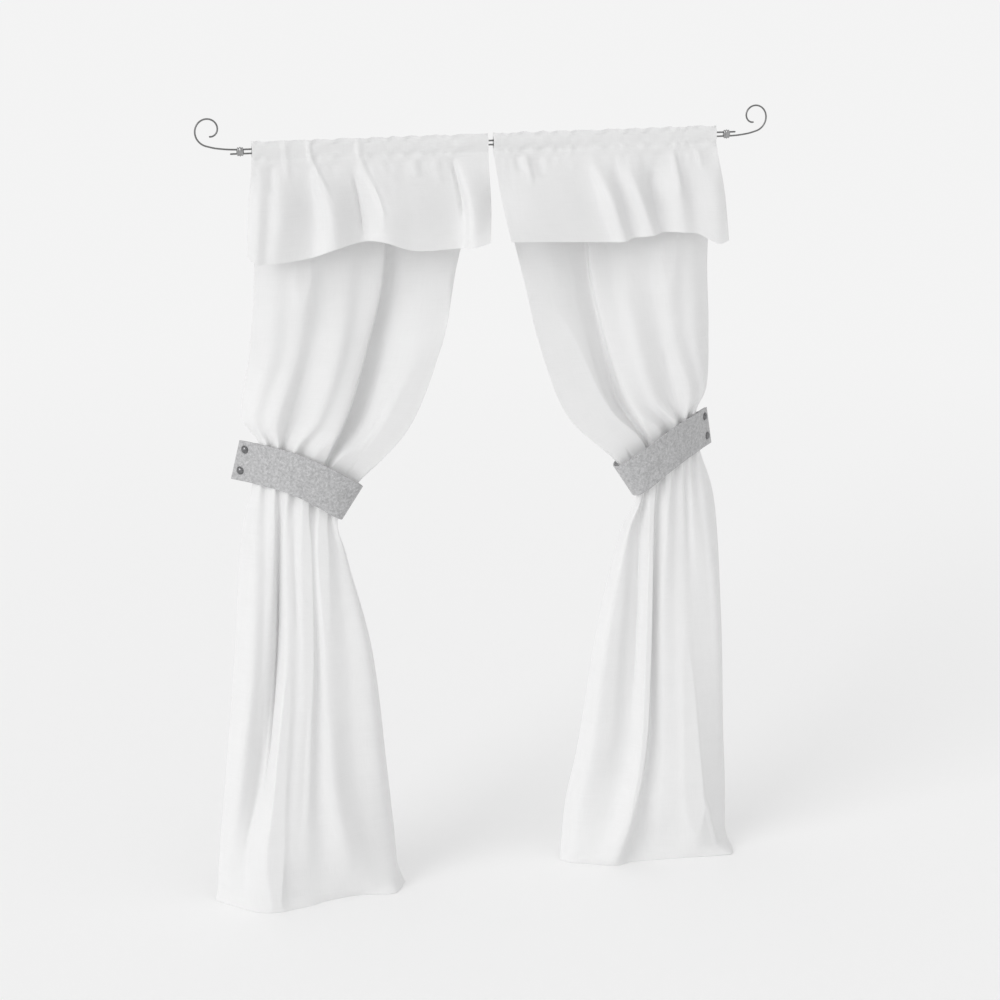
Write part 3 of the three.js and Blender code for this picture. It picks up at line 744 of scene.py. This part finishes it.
def stood_on(points, middle, outwards):
    """Moves a turned shape so that its axis leaves the felt at a place."""
    turn = Vector((0, 0, 1)).rotation_difference(Vector(outwards)).to_matrix()
    return points @ np.array(turn).T + middle


def tube(line, radius, sides):
    """A round wire along a line in the X-Z plane, with a rounded tip at each end."""
    line = np.array(line, float)
    along = unit(direction(line[:, None, :], 0)[:, 0])
    sideways = np.array([0.0, 1.0, 0.0])
    upwards = np.cross(along, sideways)
    last = len(line) - 1
    rings = [(line[0] + along[0] * back * radius, size, 0) for size, back in WIRE_TIP]
    rings += [(line[i], 1, i) for i in range(1, last)]
    rings += [(line[last] - along[last] * back * radius, size, last)
              for size, back in reversed(WIRE_TIP)]
    points = [line[0] - along[0] * radius]
    for centre, size, i in rings:
        for k in range(sides):
            angle = 2 * math.pi * k / sides
            out = math.cos(angle) * sideways + math.sin(angle) * upwards[i]
            points.append(centre + radius * size * out)
    points.append(line[last] + along[last] * radius)
    return np.array(points), capped(len(rings), sides)


def wire_line():
    """The middle line of the lower wire: stub, straight stretch, neck and scroll."""
    start = -COLLAR_X - STUB_LENGTH
    straight = [(x, 0, 0) for x in np.linspace(start, COLLAR_X, STRAIGHT_POINTS)]
    neck = [(COLLAR_X + reach, 0, rise) for reach, rise in NECK]
    turns = np.radians(np.linspace(*SCROLL_TURNS, SCROLL_POINTS))
    radii = np.linspace(*SCROLL_RADII, SCROLL_POINTS)
    scroll = [(COLLAR_X + SCROLL_REACH + r * math.cos(t), 0, SCROLL_RISE + r * math.sin(t))
              for r, t in zip(radii, turns)]
    bend = np.array([straight[-1], *neck, scroll[0]], float)
    return [*straight[:-1], *smooth_through(bend, NECK_STEPS)[:-1].tolist(), *scroll]


def ringed_bead(length):
    """Points and faces of a rounded bead along X, with three raised rings."""
    points = []
    for row in np.linspace(-1, 1, BEAD_SECTIONS):
        dome = (1 - abs(row) ** BEAD_SHOULDER) ** 0.5
        ring = RING_HEIGHT * math.cos(BEAD_RINGS * math.pi * row)
        size = BEAD_ENDS + BEAD_SWELL * dome * (1 + ring)
        for k in range(BEAD_SIDES):
            angle = 2 * math.pi * k / BEAD_SIDES
            c, s = math.cos(angle), math.sin(angle)
            points.append((row * length / 2,
                           BEAD_DEPTH * size * math.copysign(abs(c) ** BEAD_CORNERS, c),
                           BEAD_HEIGHT * size * math.copysign(abs(s) ** BEAD_CORNERS, s)))
    index = range(len(points))
    near_end = tuple(index[:BEAD_SIDES])[::-1]
    far_end = tuple(index[-BEAD_SIDES:])
    return np.array(points), [near_end, *bands(BEAD_SECTIONS, BEAD_SIDES, 0), far_end]


def principled(name):
    """A new material, its tree and its shader."""
    material = bpy.data.materials.new(name)
    material.use_nodes = True
    tree = material.node_tree
    shader = tree.nodes["Principled BSDF"]
    return material, tree, shader


def math_node(tree, operation, *values):
    """A Math node's output for numbers or sockets."""
    node = tree.nodes.new("ShaderNodeMath")
    node.operation = operation
    for socket, value in zip(node.inputs, values):
        if isinstance(value, bpy.types.NodeSocket):
            tree.links.new(value, socket)
        else:
            socket.default_value = value
    return node.outputs[0]


def noise(tree, place, name):
    """The factor of one of the named noise patterns, over places on the piece."""
    stretch, scale, detail, roughness = NOISES[name]
    if stretch:
        mapping = tree.nodes.new("ShaderNodeMapping")
        mapping.inputs["Scale"].default_value = stretch
        tree.links.new(place, mapping.inputs["Vector"])
        place = mapping.outputs["Vector"]
    node = tree.nodes.new("ShaderNodeTexNoise")
    node.inputs["Scale"].default_value = scale
    node.inputs["Detail"].default_value = detail
    node.inputs["Roughness"].default_value = roughness
    tree.links.new(place, node.inputs["Vector"])
    return node.outputs["Fac"]


def added(tree, patterns, shares):
    """The sum of two patterns, each at its share."""
    parts = [math_node(tree, "MULTIPLY", *pair) for pair in zip(patterns, shares)]
    return math_node(tree, "ADD", *parts)


def colour_ramp(tree, factor, stops):
    """A colour ramp over a factor, from (position, colour) stops."""
    node = tree.nodes.new("ShaderNodeValToRGB")
    elements = node.color_ramp.elements
    for element, (position, colour) in zip(elements, (stops[0], stops[-1])):
        element.position = position
        element.color = (*colour, 1)
    for position, colour in stops[1:-1]:
        elements.new(position).color = (*colour, 1)
    tree.links.new(factor, node.inputs["Fac"])
    return node.outputs["Color"]


def toned(tree, factor, colour, tones):
    """A colour made lighter and darker along a factor, from (position, share) pairs."""
    stops = []
    for position, share in tones:
        stops.append((position, tuple(min(1.0, c * share) for c in colour)))
    return colour_ramp(tree, factor, stops)


def bumps(tree, shader, heights):
    """A chain of Bump nodes on the shader, from named height sockets."""
    normal = None
    for name, height in heights.items():
        distance, strength = BUMPS[name]
        node = tree.nodes.new("ShaderNodeBump")
        node.inputs["Distance"].default_value = distance
        node.inputs["Strength"].default_value = strength
        tree.links.new(height, node.inputs["Height"])
        if normal is not None:
            tree.links.new(normal, node.inputs["Normal"])
        normal = node.outputs["Normal"]
    tree.links.new(normal, shader.inputs["Normal"])
    return normal


def finish(shader, values):
    """Sets the even values of a shader."""
    for name, value in values.items():
        shader.inputs[name].default_value = value


def cloth_material(settings):
    """Plain-woven white cotton, with uneven yarns and a soft crumple."""
    material, tree, shader = principled("white_cotton")
    uv = tree.nodes.new("ShaderNodeUVMap")
    uv.uv_map = "flat"
    flat = uv.outputs["UV"]
    split = tree.nodes.new("ShaderNodeSeparateXYZ")
    tree.links.new(flat, split.inputs["Vector"])
    turn = 2 * math.pi / settings.yarn_pitch
    warp = math_node(tree, "SINE", math_node(tree, "MULTIPLY", split.outputs["X"], turn))
    weft = math_node(tree, "SINE", math_node(tree, "MULTIPLY", split.outputs["Y"], turn))
    weave = math_node(tree, "MULTIPLY", warp, weft)
    slubs = math_node(tree, "ADD", noise(tree, flat, "warp slubs"),
                      noise(tree, flat, "weft slubs"))
    tone = added(tree, (slubs, noise(tree, flat, "cloud")), COTTON_PATTERN)
    shade = toned(tree, tone, settings.colour, COTTON_TONES)
    tree.links.new(shade, shader.inputs["Base Color"])
    heights = {"crumple": noise(tree, flat, "crumple"), "slubs": slubs, "weave": weave}
    normal = bumps(tree, shader, heights)
    through = tree.nodes.new("ShaderNodeBsdfTranslucent")
    tree.links.new(shade, through.inputs["Color"])
    tree.links.new(normal, through.inputs["Normal"])
    mix = tree.nodes.new("ShaderNodeMixShader")
    mix.inputs["Fac"].default_value = settings.sheerness
    tree.links.new(shader.outputs["BSDF"], mix.inputs[1])
    tree.links.new(through.outputs["BSDF"], mix.inputs[2])
    tree.links.new(mix.outputs["Shader"], tree.nodes["Material Output"].inputs["Surface"])
    finish(shader, COTTON_FINISH)
    return material


def felt_material(settings):
    """Light grey wool felt with a mottled, fibrous face."""
    material, tree, shader = principled("grey_felt")
    place = tree.nodes.new("ShaderNodeTexCoord").outputs["Object"]
    heights = {name: noise(tree, place, name) for name in ("mottle", "flecks", "fibres")}
    tone = added(tree, (heights["mottle"], heights["flecks"]), FELT_PATTERN)
    shade = toned(tree, tone, settings.colour, FELT_TONES)
    tree.links.new(shade, shader.inputs["Base Color"])
    bumps(tree, shader, heights)
    finish(shader, FELT_FINISH)
    return material


def metal_material(name, colour, roughness):
    """Steel with fine drawing marks and slightly uneven polish."""
    material, tree, shader = principled(name)
    place = tree.nodes.new("ShaderNodeTexCoord").outputs["Object"]
    heights = {pattern: noise(tree, place, pattern) for pattern in ("wear", "marks")}
    shade = toned(tree, heights["wear"], colour, METAL_TONES)
    tree.links.new(shade, shader.inputs["Base Color"])
    rough = tree.nodes.new("ShaderNodeMapRange")
    rough.inputs["To Min"].default_value = roughness * POLISH_RANGE[0]
    rough.inputs["To Max"].default_value = roughness * POLISH_RANGE[1]
    tree.links.new(heights["wear"], rough.inputs["Value"])
    tree.links.new(rough.outputs["Result"], shader.inputs["Roughness"])
    bumps(tree, shader, heights)
    finish(shader, METAL_FINISH)
    return material


def towards(side, height):
    """The direction from the curtains to a side of the room and a height over the horizon."""
    level = math.cos(height)
    return Vector((math.sin(side) * level, -math.cos(side) * level, math.sin(height)))


class ClothSettings(bpy.types.PropertyGroup):
    """Sizes and colour of the cotton cloth."""

    colour: FloatVectorProperty(
        name="Colour", description="Colour of the cotton", subtype="COLOR", size=3,
        min=0, max=1, default=(0.91, 0.91, 0.91))
    sheerness: FloatProperty(
        name="Sheerness", description="Share of the light that the cloth lets through",
        subtype="FACTOR", min=0, max=1, default=0.15)
    thickness: FloatProperty(
        name="Thickness", description="Thickness of one layer of cloth", unit="LENGTH",
        min=0.0003, max=0.0014, default=0.0008)
    yarn_pitch: FloatProperty(
        name="Yarn pitch", description="Distance between yarns of the weave", unit="LENGTH",
        min=0.0003, max=0.003, default=0.0008)
    bottom_hem: FloatProperty(
        name="Bottom hem", description="Height of the turned hem at the bottom", unit="LENGTH",
        min=0.01, max=0.1, default=0.03)
    side_hem: FloatProperty(
        name="Side hem", description="Width of the turned hem along each side", unit="LENGTH",
        min=0.005, max=0.05, default=0.012)


class TiebackSettings(bpy.types.PropertyGroup):
    """Sizes and colours of the tiebacks and their studs."""

    colour: FloatVectorProperty(
        name="Felt colour", description="Middle grey of the felt", subtype="COLOR", size=3,
        min=0, max=1, default=(0.455, 0.455, 0.46))
    felt: FloatProperty(
        name="Felt thickness", description="Thickness of the felt strip", unit="LENGTH",
        min=0.001, max=0.004, default=0.0035)
    stud_colour: FloatVectorProperty(
        name="Stud colour", description="Colour of the metal studs", subtype="COLOR", size=3,
        min=0, max=1, default=(0.2, 0.2, 0.205))
    stud_radius: FloatProperty(
        name="Stud radius", description="Radius of a stud's domed head", unit="LENGTH",
        min=0.005, max=0.015, default=0.0125)


class RodSettings(bpy.types.PropertyGroup):
    """Sizes and colour of the rod."""

    colour: FloatVectorProperty(
        name="Wire colour", description="Colour of the wires", subtype="COLOR",
        size=3, min=0, max=1, default=(0.2, 0.2, 0.2))
    bead_colour: FloatVectorProperty(
        name="Bead colour", description="Colour of the metal beads", subtype="COLOR", size=3,
        min=0, max=1, default=(0.36, 0.36, 0.36))
    wire: FloatProperty(
        name="Wire diameter", description="Diameter of each wire", unit="LENGTH",
        min=0.002, max=0.006, default=0.005)
    collar_length: FloatProperty(
        name="Collar length", description="Length of the bead that holds the wires",
        unit="LENGTH", min=0.01, max=0.03, default=0.021)


class StudioSettings(bpy.types.PropertyGroup):
    """Camera, backdrop and lights."""

    azimuth: FloatProperty(
        name="Azimuth", description="Direction of the camera round the curtains",
        subtype="ANGLE", unit="ROTATION", default=math.radians(-16))
    elevation: FloatProperty(
        name="Elevation", description="Height of the camera over the curtains",
        subtype="ANGLE", unit="ROTATION", default=math.radians(16.411))
    distance: FloatProperty(
        name="Distance", description="Distance of the camera from its target", unit="LENGTH",
        min=1, max=20, default=6.795834)
    lens: FloatProperty(
        name="Lens", description="Focal length of the camera", unit="CAMERA", min=20, max=200,
        default=79.336)
    backdrop: FloatProperty(
        name="Backdrop", description="Brightness of the backdrop", min=0, max=2,
        default=0.8)
    # The near floor colour is darker than the far one: painted shade round the curtains.
    floor_shade_near: FloatVectorProperty(
        name="Floor near", description="Colour of the floor under the curtains",
        subtype="COLOR", size=3, min=0, max=1, default=(0.945, 0.945, 0.945))
    floor_far: FloatVectorProperty(
        name="Floor far", description="Colour of the floor far behind the curtains",
        subtype="COLOR", size=3, min=0, max=1, default=(0.98, 0.98, 0.98))
    key: FloatProperty(
        name="Key light", description="Strength of the light from the left", min=0, max=10,
        default=1.0)
    key_spread: FloatProperty(
        name="Key spread", description="Width of the light from the left", subtype="ANGLE",
        unit="ROTATION", default=math.radians(35))
    key_side: FloatProperty(
        name="Key side", description="Direction of the light, from the front",
        subtype="ANGLE", unit="ROTATION", default=math.radians(-60))
    key_height: FloatProperty(
        name="Key height", description="Height of the light over the horizon",
        subtype="ANGLE", unit="ROTATION", default=math.radians(22))


class CURTAINS_OT_stage(bpy.types.Operator):
    """Make the camera, the pale floor and the soft light"""

    bl_idname = "curtains.stage"
    bl_label = "Studio"

    def execute(self, context):
        settings = context.scene.curtain_studio
        scene = context.scene
        back = towards(settings.azimuth, settings.elevation)
        target = Vector(CAMERA_TARGET) * MM
        lens = bpy.data.cameras.new("camera")
        lens.lens = settings.lens
        lens.sensor_width = SENSOR_WIDTH
        camera = bpy.data.objects.new("camera", lens)
        camera.location = target + back * settings.distance
        camera.rotation_euler = (-back).to_track_quat("-Z", "Y").to_euler()
        scene.collection.objects.link(camera)
        scene.camera = camera
        scene.view_settings.view_transform = "Standard"
        world = bpy.data.worlds.new("soft_white")
        world.use_nodes = True
        background = world.node_tree.nodes["Background"]
        background.inputs["Color"].default_value = (1, 1, 1, 1)
        background.inputs["Strength"].default_value = settings.backdrop
        scene.world = world
        self.floor(context, settings)
        self.light(settings)
        return {"FINISHED"}

    def floor(self, context, settings):
        """A wide pale floor, painted darker round the curtains as painted shade, that fades into
        the backdrop.
        """
        material, tree, shader = principled("pale_floor")
        place = tree.nodes.new("ShaderNodeTexCoord").outputs["Object"]
        length = tree.nodes.new("ShaderNodeVectorMath")
        length.operation = "LENGTH"
        tree.links.new(place, length.inputs[0])
        # Painted shade: the colour is darkest near the curtains and lightens with distance out to
        # the far colour.
        reach = math_node(tree, "DIVIDE", length.outputs["Value"], FLOOR_SHADE_FADE)
        near, far = tuple(settings.floor_shade_near), tuple(settings.floor_far)
        middle = tuple(n + (f - n) * FLOOR_MIDDLE for n, f in zip(near, far))
        shade = colour_ramp(tree, reach, list(zip(FLOOR_PLACES, (near, middle, far))))
        tree.links.new(shade, shader.inputs["Base Color"])
        finish(shader, FLOOR_FINISH)
        half = FLOOR_HALF
        low = PANEL_LEVELS[-1]["outer"] * MM - FLOOR_GAP
        mesh = bpy.data.meshes.new("floor")
        mesh.from_pydata([(-half, -half, low), (half, -half, low), (half, half, low),
                          (-half, half, low)], [], [(0, 1, 2, 3)])
        mesh.materials.append(material)
        floor = bpy.data.objects.new("floor", mesh)
        context.scene.collection.objects.link(floor)

    def light(self, settings):
        """Broad daylight from the left, with soft shadows."""
        lamp = bpy.data.lights.new("window_light", "SUN")
        lamp.angle = settings.key_spread
        lamp.energy = settings.key
        light = bpy.data.objects.new("window_light", lamp)
        beam = -towards(settings.key_side, settings.key_height)
        light.rotation_euler = beam.to_track_quat("-Z", "Y").to_euler()
        bpy.context.scene.collection.objects.link(light)


class CURTAINS_OT_panels(bpy.types.Operator):
    """Make the two long panels"""

    bl_idname = "curtains.panels"
    bl_label = "Panels"

    def execute(self, context):
        settings = context.scene.curtain_cloth
        material = cloth_material(settings)
        for side in SIDES:
            grid = panel_grid(side)
            piece = cloth_piece(f"curtain_panel_{side}", grid, side, settings, material)
            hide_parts(f"panel_{side}")
        return {"FINISHED"}


class CURTAINS_OT_valances(bpy.types.Operator):
    """Make the two short valances"""

    bl_idname = "curtains.valances"
    bl_label = "Valances"

    def execute(self, context):
        settings = context.scene.curtain_cloth
        material = bpy.data.materials.get("white_cotton") or cloth_material(settings)
        for side in SIDES:
            grid = valance_grid(side)
            piece = cloth_piece(f"curtain_valance_{side}", grid, side, settings, material)
            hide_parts(f"valance_{side}")
        return {"FINISHED"}


def cloth_piece(name, grid, side, settings, material):
    """A hemmed sheet of cloth on its grid, attached to the root body."""
    across, down = flat_places(grid)
    thickness = hem_profile(across[None, :], down[:, None], settings.thickness / MM,
                            settings.bottom_hem / MM, settings.side_hem / MM)
    points, faces, places = sheet_mesh(grid, thickness)
    points, faces = on_side(points, faces, side)
    piece = make_piece(name, points, faces, material, places)
    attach(piece, "root")
    return piece


class CURTAINS_OT_tiebacks(bpy.types.Operator):
    """Make the two felt tiebacks"""

    bl_idname = "curtains.tiebacks"
    bl_label = "Tiebacks"

    def execute(self, context):
        settings = context.scene.curtain_tieback
        material = felt_material(settings)
        felt = settings.felt / MM
        for side in SIDES:
            grid = tie_grid()
            across, down = flat_places(grid)
            thickness = felt_profile(across[None, :], down[:, None], felt)
            points, faces, places = sheet_mesh(grid, thickness)
            points, faces = on_side(points, faces, side)
            piece = make_piece(f"felt_tieback_{side}", points, faces, material, places)
            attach(piece, "root")
            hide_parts(f"tieback_{side}")
        return {"FINISHED"}


class CURTAINS_OT_studs(bpy.types.Operator):
    """Make the four domed studs"""

    bl_idname = "curtains.studs"
    bl_label = "Studs"

    def execute(self, context):
        settings = context.scene.curtain_tieback
        material = metal_material("dark_stud", settings.stud_colour, ROUGHNESS["stud"])
        profile = stud_profile(settings.stud_radius / MM, settings.felt / MM)
        for side in SIDES:
            for place, down in STUD_PLACES.items():
                points, faces = turned(profile, STUD_SIDES)
                points = stood_on(points, *stud_seat(down))
                points, faces = on_side(points, faces, side)
                piece = make_piece(f"round_stud_{side}_{place}", points, faces, material)
                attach(piece, "root")
                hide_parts(f"stud_{side}_{place}")
        return {"FINISHED"}


class CURTAINS_OT_rod(bpy.types.Operator):
    """Make the two wires with their scrolls, and the two beads"""

    bl_idname = "curtains.rod"
    bl_label = "Rod"

    def execute(self, context):
        settings = context.scene.curtain_rod
        material = metal_material("grey_steel", settings.colour, ROUGHNESS["wire"])
        radius = settings.wire / MM / 2
        for name, side, level in (("upper", "left", 1), ("lower", "right", -1)):
            points, faces = tube(wire_line(), radius, WIRE_SIDES)
            points, faces = on_side(points, faces, side)
            points[:, 2] += level * WIRE_SPACING / 2
            piece = make_piece(f"wire_{name}", points, faces, material)
            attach(piece, "root")
            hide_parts(f"rod_{name}")
        bright = metal_material("bead_steel", settings.bead_colour, ROUGHNESS["bead"])
        for side in SIDES:
            points, faces = ringed_bead(settings.collar_length / MM)
            points[:, 0] += SIDES[side] * COLLAR_X
            piece = make_piece(f"bead_{side}", points, faces, bright)
            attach(piece, "root")
            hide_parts(f"collar_{side}")
        return {"FINISHED"}


class CURTAINS_PT_panel(bpy.types.Panel):
    """The curtains' steps and sizes"""

    bl_label = "Tied-back curtains"
    bl_space_type = "VIEW_3D"
    bl_region_type = "UI"
    bl_category = "Curtains"

    def draw(self, context):
        layout = self.layout
        for operator in OPERATORS:
            layout.operator(operator.bl_idname)
        for name, _ in SETTINGS:
            box = layout.box()
            group = getattr(context.scene, name)
            for prop in group.bl_rna.properties.keys():
                if prop not in ("rna_type", "name"):
                    box.prop(group, prop)


OPERATORS = (CURTAINS_OT_stage, CURTAINS_OT_rod, CURTAINS_OT_panels, CURTAINS_OT_valances,
             CURTAINS_OT_tiebacks, CURTAINS_OT_studs)
SETTINGS = (("curtain_cloth", ClothSettings), ("curtain_tieback", TiebackSettings),
            ("curtain_rod", RodSettings), ("curtain_studio", StudioSettings))


def register():
    for name, group in SETTINGS:
        bpy.utils.register_class(group)
        setattr(bpy.types.Scene, name, PointerProperty(type=group))
    for operator in OPERATORS:
        bpy.utils.register_class(operator)
    bpy.utils.register_class(CURTAINS_PT_panel)


def unregister():
    bpy.utils.unregister_class(CURTAINS_PT_panel)
    for operator in reversed(OPERATORS):
        bpy.utils.unregister_class(operator)
    for name, group in reversed(SETTINGS):
        delattr(bpy.types.Scene, name)
        bpy.utils.unregister_class(group)


def main():
    register()
    bpy.ops.curtains.stage()
    bpy.ops.curtains.rod()
    bpy.ops.curtains.panels()
    bpy.ops.curtains.valances()
    bpy.ops.curtains.tiebacks()
    bpy.ops.curtains.studs()


if __name__ == "__main__":
    main()
